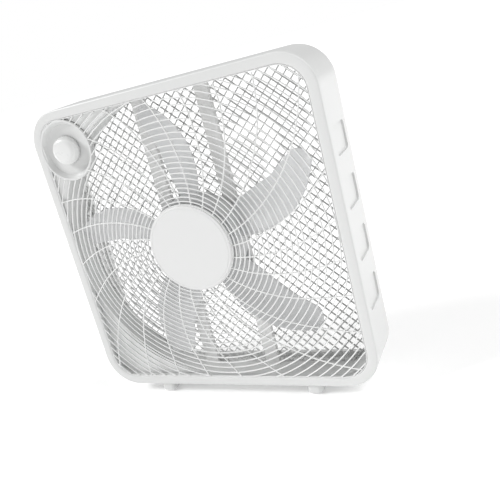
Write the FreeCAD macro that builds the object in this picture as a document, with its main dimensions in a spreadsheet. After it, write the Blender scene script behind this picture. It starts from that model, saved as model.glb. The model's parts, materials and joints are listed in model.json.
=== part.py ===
import FreeCAD, Part
import math
import os
import Sketcher
from FreeCAD import Placement, Rotation, Vector

# Box fan. The frame: +X to the right seen from the front, +Y rearward, +Z up.
# The origin is on the floor, in the middle of the bounding box.
# Depths are counted rearward from the bezel's front plane (FRONT); heights from the fan axis (AXIS).

SIZES = [
    ("body_width", 527, "outside width of the body"),
    ("body_height", 540, "outside height of the body, feet left out"),
    ("body_depth", 100, "bezel front plane to rear rim"),
    ("body_corner", 60, "outside corner radius"),
    ("wall", 3, "moulded wall"),
    ("border", 17, "width of the bezel round the opening"),
    ("opening_corner", 45, "corner radius of the opening"),
    ("bezel_depth", 14, "depth of the front frame"),
    ("bezel_round", 4, "rounding of the bezel's outer front edge"),
    ("rear_lip", 12, "width of the rear rim"),
    ("rear_round", 7, "rounding of the rear rim"),
    ("foot_height", 20, "height of the skid feet"),
    ("foot_width", 27, "width of a foot"),
    ("foot_setback", 5, "ends of a foot from the body's front and rear"),
    ("foot_round", 7.5, "rounding of a foot"),
    ("sink_gap", 0.5, "radial room round a foot screw's head"),
    ("foot_offset", 145, "foot centre from the middle"),
    ("pocket_tall", 45, "height of a side pocket"),
    ("pocket_long", 60, "length of a side pocket"),
    ("pocket_deep", 3, "depth of a side pocket"),
    ("pocket_pitch", 83, "spacing of the side pockets"),
    ("pocket_corner", 8, "corner radius of a side pocket"),
    ("front_reach", 18, "how far the badge stands in front of the bezel"),
    ("badge_thick", 4, "thickness of the hub badge"),
    ("hub_radius", 74, "radius of the hub badge"),
    ("seat_lip", 2, "lip of the badge's seat beyond the badge"),
    ("badge_round", 2, "rounding of the badge's edge"),
    ("dome_inset", 10.5, "flat edge of the grille outside its dome"),
    ("bar_width", 2.2, "width of a grille ring or rib"),
    ("grille_thick", 3.5, "depth of the grille bars"),
    ("rim_width", 3, "width of the grille's edge rim"),
    ("ring_pitch", 7, "first ring spacing"),
    ("ring_growth", 0.22, "growth of the spacing per ring"),
    ("ring_pitch_max", 10.8, "largest ring spacing"),
    ("dial_side", 65.5, "knob axis from the body's side"),
    ("dial_top", 72, "knob axis from the body's top"),
    ("dish_radius", 54, "outside radius of the knob dish"),
    ("dish_rim", 4, "width of the dish's rim"),
    ("dish_floor", 43, "radius of the dish's floor"),
    ("dish_depth", 9.5, "depth of the dish"),
    ("dish_wall", 2.5, "thickness of the dish's floor"),
    ("knob_radius", 25.5, "radius of the knob"),
    ("knob_tall", 18.5, "height of the knob"),
    ("knob_gap", 0.5, "gap under the knob"),
    ("knob_round", 7.6, "rounding of the knob's front"),
    ("knob_room", 6, "depth of the hollow under the knob"),
    ("knob_bore", 14, "depth of the spindle's hole in the knob"),
    ("flute_radius", 0.9, "radius of a grip flute"),
    ("flute_out", 0.35, "flute axis outside the knob's face"),
    ("switch_radius", 15, "radius of the rotary switch"),
    ("switch_deep", 28, "depth of the rotary switch"),
    ("bush_radius", 4.5, "radius of the switch's threaded bush"),
    ("bush_proud", 4, "bush in front of the dish's floor"),
    ("bush_gap", 0.1, "radial gap round the bush"),
    ("switch_gap", 1, "radial gap round the switch"),
    ("switch_nut_lap", 3.15, "switch nut's corners outside the bush"),
    ("switch_nut_tall", 3, "thickness of the switch nut"),
    ("nut_room", 5.4, "hollow under the knob, outside the bush"),
    ("spindle_deep", 15, "spindle inside the switch"),
    ("tag_wide", 4, "width of a switch tag"),
    ("tag_long", 6, "length of a switch tag"),
    ("tag_thick", 0.8, "thickness of a switch tag"),
    ("tag_pitch", 6, "spacing of the switch tags"),
    ("capacitor_wide", 34, "width of the run capacitor"),
    ("capacitor_deep", 20, "depth of the run capacitor"),
    ("capacitor_tall", 16, "height of the run capacitor"),
    ("capacitor_round", 2.5, "rounding of the run capacitor"),
    ("spindle_radius", 3, "radius of the switch spindle"),
    ("fit_gap", 0.05, "radial clearance of a running fit"),
    ("guide_step", 3.5, "step from the opening out to the air guide"),
    ("guide_wall", 2.5, "wall of the air guide"),
    ("guide_gap", 2, "gap from the air guide to the rear grille"),
    ("guide_flat", 15, "half the straight stretch between the air guide's large corners"),
    ("deck_front", 5, "depth of the deck round the knob's dish"),
    ("deck_gap", 0.5, "gap between the deck and the opening, and half its gap to the dish"),
    ("guide_corner", 60, "corner radius of the air guide on the other side"),
    ("tip_gap", 10, "gap from the blade tips to the air guide"),
    ("cup_radius", 80, "radius of the impeller's hub"),
    ("cup_front", 4, "depth of the hub's front face"),
    ("cup_gap", 5, "gap from the impeller's hub to the motor plate"),
    ("cup_round", 5, "rounding of the impeller's hub"),
    ("blade_thick", 2.2, "thickness of a blade"),
    ("blade_front", 14, "depth of a blade's front edge"),
    ("blade_gap", 4, "gap from the blades to the motor plate"),
    ("shaft_radius", 4, "radius of the motor shaft"),
    ("boss_radius", 11, "radius of the impeller's boss"),
    ("boss_gap", 3, "gap from the boss to the front bearing"),
    ("nut_radius", 8, "across-corners radius of the blade nut"),
    ("nut_tall", 6, "thickness of the blade nut"),
    ("plate_setback", 13, "motor plate's front from the rear grille"),
    ("plate_tall", 96, "height of the motor plate"),
    ("plate_gap", 0.5, "radial gap from the stator to the motor plate"),
    ("plate_thick", 3, "thickness of the motor plate"),
    ("bar_offset", 61, "motor bar centre from the middle"),
    ("strut_width", 24, "width of a motor bar"),
    ("strut_gap", 1, "gap from the motor bars to the rear grille"),
    ("strut_screw_up", 36, "height of a motor bar's screws from the axis"),
    ("sheet_thick", 2, "sheet thickness of a motor bar"),
    ("case_radius", 44, "outside radius of the motor case"),
    ("case_wall", 2.5, "wall of the motor case"),
    ("case_reach", 19, "motor case in front of the motor plate"),
    ("case_tail", 37, "motor plate's front to the motor case's rear"),
    ("case_round", 4, "rounding of the motor case"),
    ("tie_inset", 5, "motor screws from the case's outside"),
    ("lug_radius", 4, "radius of a motor case lug"),
    ("lug_long", 8, "length of a motor case lug"),
    ("thread_deep", 7, "depth of a threaded hole in a lug"),
    ("bearing_radius", 8, "outside radius of a bearing bush"),
    ("bearing_long", 9, "length of a bearing bush"),
    ("bearing_proud", 1, "front bearing in front of the motor case"),
    ("stator_radius", 34, "outside radius of the stator"),
    ("rotor_radius", 20, "radius of the rotor"),
    ("air_gap", 0.5, "gap between the rotor and the stator"),
    ("core_gap", 10, "motor case's front to the stator core"),
    ("core_long", 22, "length of the stator core"),
    ("coil_long", 6, "reach of the coils beyond the core"),
    ("coil_inset", 1, "coils from the stator's outside"),
    ("coil_gap", 3, "radial gap from the rotor to the coils"),
    ("lattice_setback", 40, "rear grille's front from the rear rim"),
    ("rear_plate", 4, "thickness of the rear grille"),
    ("lattice_pitch", 13, "spacing of the diamond lattice bars"),
    ("lattice_bar", 2.4, "width of a lattice bar"),
    ("cover_radius", 56, "outside radius of the motor cover"),
    ("cover_setback", 8, "motor cover from the rear rim"),
    ("cover_flange", 6, "width of the motor cover's flange"),
    ("cover_round", 6, "rounding of the motor cover"),
    ("cover_back", 5.5, "thickness of the motor cover's rear"),
    ("cover_gap", 1, "radial gap round the motor case in the rear grille"),
    ("slot_wide", 57.6, "length of a cooling slot"),
    ("slot_tall", 3.5, "height of a cooling slot"),
    ("slot_pitch", 9, "spacing of the cooling slots"),
    ("gland_radius", 7, "radius of the cord gland"),
    ("cord_radius", 3.5, "radius of the gland's cord hole"),
    ("gland_inside", 4, "gland in front of the rear grille"),
    ("collar_long", 8, "length of the gland's collar"),
    ("collar_lap", 3, "lap of the collar on the rear grille"),
    ("collar_tip", 1, "lip of the collar's small end"),
    ("screw_radius", 1.75, "radius of a screw's shank"),
    ("screw_inset", 6.8, "frame screws from the body's outer face"),
    ("screw_head", 3.4, "radius of a screw's head"),
    ("head_tall", 2, "height of a screw's head"),
    ("head_gap", 0.2, "radial gap round a recessed screw head"),
]
RIBS = 24            # ribs of the front grille
BLADES = 5           # blades of the impeller
FLUTES = 36          # grip flutes of the knob
SLOTS = 7            # cooling slots of the motor cover
TAGS = 4             # terminals of the switch
FIRST_RIB = 12.0     # degrees, first rib where it leaves the hub
RIB_SWEEP = 0.125    # degrees of sweep for each millimetre of radius
FIRST_BLADE = 18.0   # degrees, middle line of the first blade
CAMBER = 0.09        # height of a blade's curve, as a share of its chord
DOME_SHAPE = 0.7     # share of the dome's rise left half-way out
FLUTE_START = 0.36   # flutes begin this share of the knob's height from its front
PAST = 1.0           # how far a cutting tool runs past a face
NEAR = 0.01          # how closely an edge is found by its place
# Blade sections: share of the way from root to tip, trailing and leading edge across the blade in
# millimetres, and share of the blade's depth taken off at each edge.
BLADE_SECTIONS = [(-0.05, -25, 26, 0.0), (0.25, -32, 31, 0.03), (0.52, -26, 37, 0.10),
                  (0.77, -17, 46, 0.17), (0.92, 5, 53, 0.24), (1.0, 26, 46, 0.32)]

doc = FreeCAD.newDocument("BoxFan")
sheet = doc.addObject("Spreadsheet::Sheet", "dim")
for row, (alias, size, note) in enumerate(SIZES, start=1):
    sheet.set(f"A{row}", alias)
    sheet.set(f"B{row}", str(size))
    sheet.set(f"C{row}", note)
    sheet.setAlias(f"B{row}", alias)
doc.recompute()

FRONT = "((dim.front_reach - dim.body_depth) / 2)"
AXIS = "(dim.foot_height + dim.body_height / 2)"
HALF_W = "(dim.body_width / 2)"
HALF_H = "(dim.body_height / 2)"
OPEN_W = "(dim.body_width / 2 - dim.border)"
OPEN_H = "(dim.body_height / 2 - dim.border)"
GUIDE_W = "(dim.body_width / 2 - dim.border + dim.guide_step)"
GUIDE_H = "(dim.body_height / 2 - dim.border + dim.guide_step)"
LATTICE_FRONT = "(dim.body_depth - dim.lattice_setback)"
PLATE_FRONT = f"({LATTICE_FRONT} - dim.plate_setback)"
CASE_FRONT = f"({PLATE_FRONT} - dim.case_reach)"
CASE_REAR = f"({PLATE_FRONT} + dim.case_tail)"
CASE_REAR_SEAT = f"({CASE_REAR} - dim.case_wall)"
CORE_FRONT = f"({CASE_FRONT} + dim.core_gap)"
COVER_REAR = "(dim.body_depth - dim.cover_setback)"
BLADE_REAR = f"({PLATE_FRONT} - dim.blade_gap)"
CUP_DEEP = f"({PLATE_FRONT} - dim.cup_gap - dim.cup_front)"
STRUT_DEEP = "(dim.plate_setback - dim.plate_thick - dim.strut_gap)"
GUIDE_DEPTH = f"({LATTICE_FRONT} - dim.bezel_depth - dim.guide_gap)"
GUIDE_ROUND = f"(min({GUIDE_W}; {GUIDE_H}) - dim.guide_flat)"
TIP = f"(min({GUIDE_W}; {GUIDE_H}) - dim.tip_gap)"
DOME = f"(min({OPEN_W}; {OPEN_H}) - dim.dome_inset)"
FOOT_LONG = "(dim.body_depth - 2 * dim.foot_setback)"
DIAL_X = f"(dim.dial_side - {HALF_W})"
DIAL_Z = f"({HALF_H} - dim.dial_top)"
GLAND_Z = f"(-{DIAL_Z} - dim.gland_radius)"
PAD_SPAN = "dim.pocket_pitch * 3 + dim.pocket_tall + dim.wall * 3"
SIDE_SCREW_UP = "dim.pocket_pitch * 2"
SIDES = [(-1, -1), (-1, 1), (1, -1), (1, 1)]
FRAME_SPOTS = [(f"{sx} * ({HALF_W} - dim.screw_inset)", f"{sz} * {SIDE_SCREW_UP}") for sx, sz in SIDES]
FRAME_SPOTS += [(f"{sx} * dim.foot_offset * {share}", f"{sz} * ({HALF_H} - dim.screw_inset)")
                for sx, share in ((-1, 0.7), (1, 1)) for sz in (-1, 1)]
FOOT_SPOTS = [(f"{sx} * dim.foot_offset", f"dim.body_depth / 2 + {sy} * {FOOT_LONG} / 3") for sx, sy in SIDES]
STRUT_SPOTS = [(f"{sx} * dim.bar_offset", f"{sz} * dim.strut_screw_up") for sx, sz in SIDES]
CASE_SPOTS = [(f"{sx} * (dim.case_radius - dim.tie_inset) * sqrt(0.5)",
               f"{sz} * (dim.case_radius - dim.tie_inset) * sqrt(0.5)") for sx, sz in SIDES]
RINGS_ALONG_Y = Rotation(Vector(1, 0, 0), -90)
UPRIGHT_SKETCH = Rotation(Vector(1, 0, 0), 90)

nodes = {}


def size(expression):
    """The number that an expression on the sheet gives now."""
    return float(sheet.evalExpression(expression))


def depth(expression):
    """An expression for the Y of a depth behind the bezel's front plane."""
    return f"{FRONT} + ({expression})"


def place(obj, across, along, up, turn=Rotation()):
    """Bind an object's place: across and up are counted from the fan axis, along is a depth."""
    obj.Placement = Placement(Vector(), turn)
    obj.setExpression("Placement.Base.x", across)
    obj.setExpression("Placement.Base.y", depth(along))
    obj.setExpression("Placement.Base.z", f"{AXIS} + ({up})")
    return obj


def rod(name, radius, along, length, across="0", up="0"):
    """A cylinder along Y that starts at a depth."""
    obj = doc.addObject("Part::Cylinder", name)
    obj.setExpression("Radius", radius)
    obj.setExpression("Height", length)
    return place(obj, across, along, up, RINGS_ALONG_Y)


def upright(name, radius, across, along, up, length):
    """A cylinder along Z that starts at a height above the fan axis."""
    obj = doc.addObject("Part::Cylinder", name)
    obj.setExpression("Radius", radius)
    obj.setExpression("Height", length)
    return place(obj, across, along, up)


def taper(name, radius_front, radius_rear, along, length, across="0", up="0"):
    """A cone along Y that starts at a depth."""
    obj = doc.addObject("Part::Cone", name)
    obj.setExpression("Radius1", radius_front)
    obj.setExpression("Radius2", radius_rear)
    obj.setExpression("Height", length)
    return place(obj, across, along, up, RINGS_ALONG_Y)


def block(name, wide, long, tall, across, along, up):
    """A box whose across and up give its middle, and along its front depth."""
    obj = doc.addObject("Part::Box", name)
    obj.setExpression("Length", wide)
    obj.setExpression("Width", long)
    obj.setExpression("Height", tall)
    return place(obj, f"({across}) - ({wide}) / 2", along, f"({up}) - ({tall}) / 2")


def cut(name, base, *tools):
    """The base less the tools."""
    tool = tools[0] if len(tools) == 1 else fuse(f"{name}Tools", *tools)
    obj = doc.addObject("Part::Cut", name)
    obj.Base = base
    obj.Tool = tool
    return obj


def fuse(name, *shapes):
    """All the shapes joined in one solid."""
    obj = doc.addObject("Part::MultiFuse", name)
    obj.Shapes = list(shapes)
    return obj


def common(name, base, tool):
    """What two shapes share."""
    obj = doc.addObject("Part::Common", name)
    obj.Base = base
    obj.Tool = tool
    return obj


def group(name, *shapes):
    """Separate solids kept together in one object."""
    obj = doc.addObject("Part::Compound", name)
    obj.Links = list(shapes)
    return obj


def node(obj, label):
    """Keep an object as the sub-part of that name."""
    obj.Label = label
    nodes[label] = obj
    return obj


def rounded(base, name, radius, picks):
    """Fillet the edges of an object that picks() accepts."""
    doc.recompute()
    obj = doc.addObject("Part::Fillet", name)
    obj.Base = base
    obj.Edges = [(i, radius, radius) for i, edge in enumerate(base.Shape.Edges, 1) if picks(edge)]
    return obj


def outline_wire(half_w, half_h, left, right, along):
    """A rounded rectangle in the plane of one depth, with its own radius at each side."""
    y = size(depth(along))
    axis = size(AXIS)
    corners = [(1, 1, right), (-1, 1, left), (-1, -1, left), (1, -1, right)]
    ends = []
    arcs = []
    for sx, sz, r in corners:
        centre = Vector(sx * (half_w - r), y, axis + sz * (half_h - r))
        side = centre + Vector(sx * r, 0, 0)
        top = centre + Vector(0, 0, sz * r)
        middle = centre + Vector(sx * r, 0, sz * r) * math.sqrt(0.5)
        first, last = (side, top) if sx * sz > 0 else (top, side)
        ends.append((first, last))
        arcs.append(Part.Arc(first, middle, last).toShape())
    edges = []
    for i, arc in enumerate(arcs):
        edges.append(arc)
        edges.append(Part.LineSegment(ends[i][1], ends[(i + 1) % 4][0]).toShape())
    return Part.Wire(edges)


def prism(name, half_w, half_h, corner, along, length, left_corner=None):
    """A rounded rectangle swept rearward, drawn as a bound sketch."""
    sketch = doc.addObject("Sketcher::SketchObject", f"{name}Sketch")
    left = left_corner or corner
    radii = [corner, left, left, corner]
    width, height = size(half_w), size(half_h)
    signs = [(1, 1), (-1, 1), (-1, -1), (1, -1)]
    for (sx, sz), radius in zip(signs, radii):
        r = size(radius)
        centre = Vector(sx * (width - r), sz * (height - r), 0)
        start = {(1, 1): 0, (-1, 1): 90, (-1, -1): 180, (1, -1): 270}[sx, sz]
        circle = Part.Circle(centre, Vector(0, 0, 1), r)
        sketch.addGeometry(Part.ArcOfCircle(circle, math.radians(start), math.radians(start + 90)))
    for i in range(4):
        a = sketch.getPoint(i, 2)
        b = sketch.getPoint((i + 1) % 4, 1)
        sketch.addGeometry(Part.LineSegment(a, b))
    for i in range(4):
        sketch.addConstraint(Sketcher.Constraint("Tangent", i, 2, 4 + i, 1))
        sketch.addConstraint(Sketcher.Constraint("Tangent", 4 + i, 2, (i + 1) % 4, 1))
    for i, kind in enumerate(["Horizontal", "Vertical", "Horizontal", "Vertical"]):
        sketch.addConstraint(Sketcher.Constraint(kind, 4 + i))
    for i, radius in enumerate(radii):
        n = sketch.addConstraint(Sketcher.Constraint("Radius", i, size(radius)))
        sketch.renameConstraint(n, f"corner{i}")
        sketch.setExpression(f"Constraints.corner{i}", radius)
    limits = [("top", "DistanceY", 4, half_h), ("left", "DistanceX", 5, f"-({half_w})"),
              ("bottom", "DistanceY", 6, f"-({half_h})"), ("right", "DistanceX", 7, half_w)]
    for label, kind, line, expression in limits:
        n = sketch.addConstraint(Sketcher.Constraint(kind, -1, 1, line, 1, size(expression)))
        sketch.renameConstraint(n, label)
        sketch.setExpression(f"Constraints.{label}", expression)
    place(sketch, "0", along, "0", UPRIGHT_SKETCH)
    obj = doc.addObject("Part::Extrusion", name)
    obj.Base = sketch
    obj.DirMode = "Custom"
    obj.Dir = Vector(0, 1, 0)
    obj.setExpression("LengthFwd", length)
    obj.Solid = True
    return obj


def feature(name, shape):
    """A sub-part whose shape is made by its own function, in the fan's frame."""
    obj = doc.addObject("Part::Feature", name)
    obj.Shape = shape
    return obj


def screws(name, spots, head_depth, length, facing=1):
    """Identical screws along Y: facing 1 has the head at the front, -1 at the rear."""
    made = []
    for i, (across, up) in enumerate(spots):
        start = head_depth if facing > 0 else f"({head_depth}) - dim.head_tall"
        shank = f"({head_depth}) + dim.head_tall" if facing > 0 else f"({start}) - ({length})"
        head = rod(f"{name}Head{i}", "dim.screw_head", start, "dim.head_tall", across, up)
        body = rod(f"{name}Shank{i}", "dim.screw_radius", shank, length, across, up)
        made.append(fuse(f"{name}{i}", head, body))
    return group(f"{name}Group", *made)


def holes(name, spots, along, length, radius="dim.screw_radius"):
    """Cutting rods at the same spots as a set of screws."""
    return [rod(f"{name}{i}", radius, along, length, across, up) for i, (across, up) in enumerate(spots)]


def tube(name, outer, inner, along, length):
    """A ring along the fan axis."""
    return cut(name, rod(f"{name}Outer", outer, along, length), rod(f"{name}Inner", inner, along, length))


def make_front_frame():
    """Bezel: a hollow moulded ring with the knob's dish in its upper corner."""
    outer = prism("BezelBlock", HALF_W, HALF_H, "dim.body_corner", "0", "dim.bezel_depth")
    opening = prism("BezelOpening", OPEN_W, OPEN_H, "dim.opening_corner", f"-{PAST}",
                    f"dim.bezel_depth + 2 * {PAST}")
    ring = cut("BezelRing", outer, opening)
    front = size(depth("0"))
    top, bottom = size(f"{AXIS} + {OPEN_H}") + NEAR, size(f"{AXIS} - {OPEN_H}") - NEAR

    def outer_front(edge):
        box = edge.BoundBox
        sideways = max(abs(box.XMin), abs(box.XMax)) > size(OPEN_W) + NEAR
        beyond = sideways or box.ZMax > top or box.ZMin < bottom
        return beyond and box.YLength < NEAR and abs(box.YMin - front) < NEAR

    round_outer = rounded(ring, "BezelRound", size("dim.bezel_round"), outer_front)
    channel = prism("ChannelOuter", f"{HALF_W} - dim.wall", f"{HALF_H} - dim.wall",
                    "dim.body_corner - dim.wall", "dim.bezel_round + dim.wall / 2", "dim.bezel_depth")
    core = prism("ChannelInner", f"{OPEN_W} + dim.wall", f"{OPEN_H} + dim.wall",
                 "dim.opening_corner + dim.wall", "0", "dim.bezel_depth * 2")
    hollow = cut("Channel", channel, core)
    bosses = holes("FrameBoss", FRAME_SPOTS, "dim.bezel_round", "dim.bezel_depth - dim.bezel_round",
                   "dim.screw_head")
    shell = cut("BezelShell", round_outer, hollow)
    plug = rod("DishPlug", "dim.dish_radius", "0", "dim.dish_depth + dim.dish_wall", DIAL_X, DIAL_Z)
    well = taper("DishWell", "dim.dish_radius - dim.dish_rim", "dim.dish_floor", f"-{NEAR}",
                 f"dim.dish_depth + {NEAR}", DIAL_X, DIAL_Z)
    bush = rod("DishHole", "dim.bush_radius + dim.bush_gap", "0", "dim.bezel_depth * 2", DIAL_X, DIAL_Z)
    joined = fuse("BezelJoined", shell, plug, *bosses)
    drilled = holes("FramePilot", FRAME_SPOTS, "dim.bezel_depth / 2", "dim.bezel_depth")
    return node(cut("FrontFrame", joined, well, bush, *drilled), "front_frame")


def make_rear_shell():
    """Housing: four walls with side pockets, open at the front, with a narrow rear rim."""
    start = "dim.bezel_depth"
    length = "dim.body_depth - dim.bezel_depth"
    outer = prism("ShellBlock", HALF_W, HALF_H, "dim.body_corner", start, length)
    rear = size(depth("dim.body_depth"))
    outer = rounded(outer, "ShellRound", size("dim.rear_round"),
                    lambda e: e.BoundBox.YLength < NEAR and abs(e.BoundBox.YMin - rear) < NEAR)
    inner = prism("ShellRoom", f"{HALF_W} - dim.wall", f"{HALF_H} - dim.wall",
                  "dim.body_corner - dim.wall", f"dim.bezel_depth - {PAST}",
                  f"dim.body_depth - dim.bezel_depth + {PAST} - dim.rear_round - dim.wall / 2")
    mouth = prism("ShellMouth", f"{HALF_W} - dim.rear_lip", f"{HALF_H} - dim.rear_lip",
                  "dim.body_corner - dim.rear_lip", "dim.body_depth / 2", "dim.body_depth")
    walls = cut("ShellWalls", outer, inner, mouth)
    pads = []
    pockets = []
    for side in (-1, 1):
        for row in (-1.5, -0.5, 0.5, 1.5):
            tag = f"{'L' if side < 0 else 'R'}{int(row * 2 + 3)}"
            up = f"{row} * dim.pocket_pitch"
            start = "dim.bezel_depth + dim.wall"
            pads.append(block(f"Pad{tag}", "dim.pocket_deep", "dim.pocket_long + dim.wall * 2",
                              "dim.pocket_tall + dim.wall * 2",
                              f"{side} * ({HALF_W} - dim.wall - dim.pocket_deep / 2)", start, up))
            pocket = block(f"Pocket{tag}", "dim.pocket_deep * 2", "dim.pocket_long", "dim.pocket_tall",
                           f"{side} * {HALF_W}", "dim.bezel_depth + dim.wall * 2", up)
            pockets.append(rounded(pocket, f"PocketRound{tag}", size("dim.pocket_corner"),
                                   lambda e: e.BoundBox.XLength > 0.9 * size("dim.pocket_deep * 2")
                                   and e.BoundBox.YLength + e.BoundBox.ZLength < NEAR))
    body = fuse("ShellPadded", walls, *pads)
    foot_pilots = [upright(f"FootPilot{i}", "dim.screw_radius", x, y, f"-({HALF_H})", "dim.wall")
                   for i, (x, y) in enumerate(FOOT_SPOTS)]
    return node(cut("RearShell", body, *pockets, *foot_pilots), "rear_shell")


def make_feet():
    """Two skid feet and the screws that hold them to the bottom wall."""
    start = f"(dim.body_depth - {FOOT_LONG}) / 2"
    for side, label in ((-1, "foot_left"), (1, "foot_right")):
        raw = block(f"FootBlock{side + 1}", "dim.foot_width", FOOT_LONG, "dim.foot_height",
                    f"{side} * dim.foot_offset", start, f"-({HALF_H}) - dim.foot_height / 2")
        soft = rounded(raw, f"FootRound{side + 1}", size("dim.foot_round"),
                       lambda e: e.BoundBox.ZMax < NEAR or e.BoundBox.ZLength > 0.9 * size("dim.foot_height"))
        spots = FOOT_SPOTS[:2] if side < 0 else FOOT_SPOTS[2:]
        tools = []
        for i, (x, y) in enumerate(spots):
            tools.append(upright(f"FootHole{side + 1}{i}", "dim.screw_radius", x, y,
                                 f"-({HALF_H}) - dim.foot_height", "dim.foot_height"))
            tools.append(upright(f"FootSink{side + 1}{i}", "dim.screw_head + dim.sink_gap", x, y,
                                 f"-({HALF_H}) - dim.foot_height", "dim.foot_height / 2"))
        node(cut(f"Foot{side + 1}", soft, *tools), label)
    made = []
    for i, (x, y) in enumerate(FOOT_SPOTS):
        head = upright(f"FootScrewHead{i}", "dim.screw_head", x, y,
                       f"-({HALF_H}) - dim.foot_height / 2 - dim.head_tall", "dim.head_tall")
        shank = upright(f"FootScrewShank{i}", "dim.screw_radius", x, y,
                        f"-({HALF_H}) - dim.foot_height / 2", "dim.foot_height / 2 + dim.wall")
        made.append(fuse(f"FootScrew{i}", head, shank))
    node(group("FootScrews", *made), "foot_screws")


def make_air_guide():
    """Inner duct with a flange that reaches the housing's walls, and a deck in the dial's corner."""
    wall_out = prism("GuideOuter", f"{GUIDE_W} + dim.guide_wall", f"{GUIDE_H} + dim.guide_wall",
                     "dim.guide_corner + dim.guide_wall", "dim.bezel_depth", GUIDE_DEPTH,
                     f"{GUIDE_ROUND} + dim.guide_wall")
    flange = prism("GuideFlange", f"{HALF_W} - dim.wall", f"{HALF_H} - dim.wall",
                   "dim.body_corner - dim.wall", "dim.bezel_depth", "dim.guide_wall")
    room = prism("GuideRoom", GUIDE_W, GUIDE_H, "dim.guide_corner", "0", "dim.body_depth", GUIDE_ROUND)
    switch = rod("GuideSwitchHole", "dim.switch_radius + dim.switch_gap", "0", "dim.bezel_depth * 2",
                 DIAL_X, DIAL_Z)
    corners = [block(f"GuideRelief{i}", "dim.wall * 2", GUIDE_DEPTH, PAD_SPAN,
                     f"{side} * ({HALF_W} - dim.wall)", "dim.bezel_depth + dim.guide_wall", "0")
               for i, side in enumerate((-1, 1))]
    pilots = holes("GuidePilot", FRAME_SPOTS, f"dim.bezel_depth - {PAST}", f"dim.guide_wall + 2 * {PAST}")
    deck = prism("Deck", f"{OPEN_W} - dim.deck_gap", f"{OPEN_H} - dim.deck_gap",
                 "dim.opening_corner - dim.deck_gap", "dim.deck_front", "dim.bezel_depth - dim.deck_front")
    quarter = block("DeckQuarter", OPEN_W, "dim.body_depth", OPEN_H,
                    f"-({OPEN_W} / 2 + 2 * dim.guide_flat)", "0", f"{OPEN_H} / 2 + 2 * dim.guide_flat")
    dish = rod("DeckDish", "dim.dish_radius + 2 * dim.deck_gap", "0", "dim.bezel_depth", DIAL_X, DIAL_Z)
    corner = cut("CornerDeck", common("DeckCorner", deck, quarter), dish)
    body = fuse("GuideBody", wall_out, flange, corner)
    return node(cut("AirGuide", body, room, switch, *corners, *pilots), "air_guide")


def ring_radii():
    """Ring radii from the hub out past the corners."""
    radii = [size("dim.hub_radius")]
    reach = math.hypot(size(OPEN_W), size(OPEN_H))
    while radii[-1] < reach:
        step = size("dim.ring_pitch") + size("dim.ring_growth") * (len(radii) - 1)
        radii.append(radii[-1] + min(step, size("dim.ring_pitch_max")))
    return radii


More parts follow.
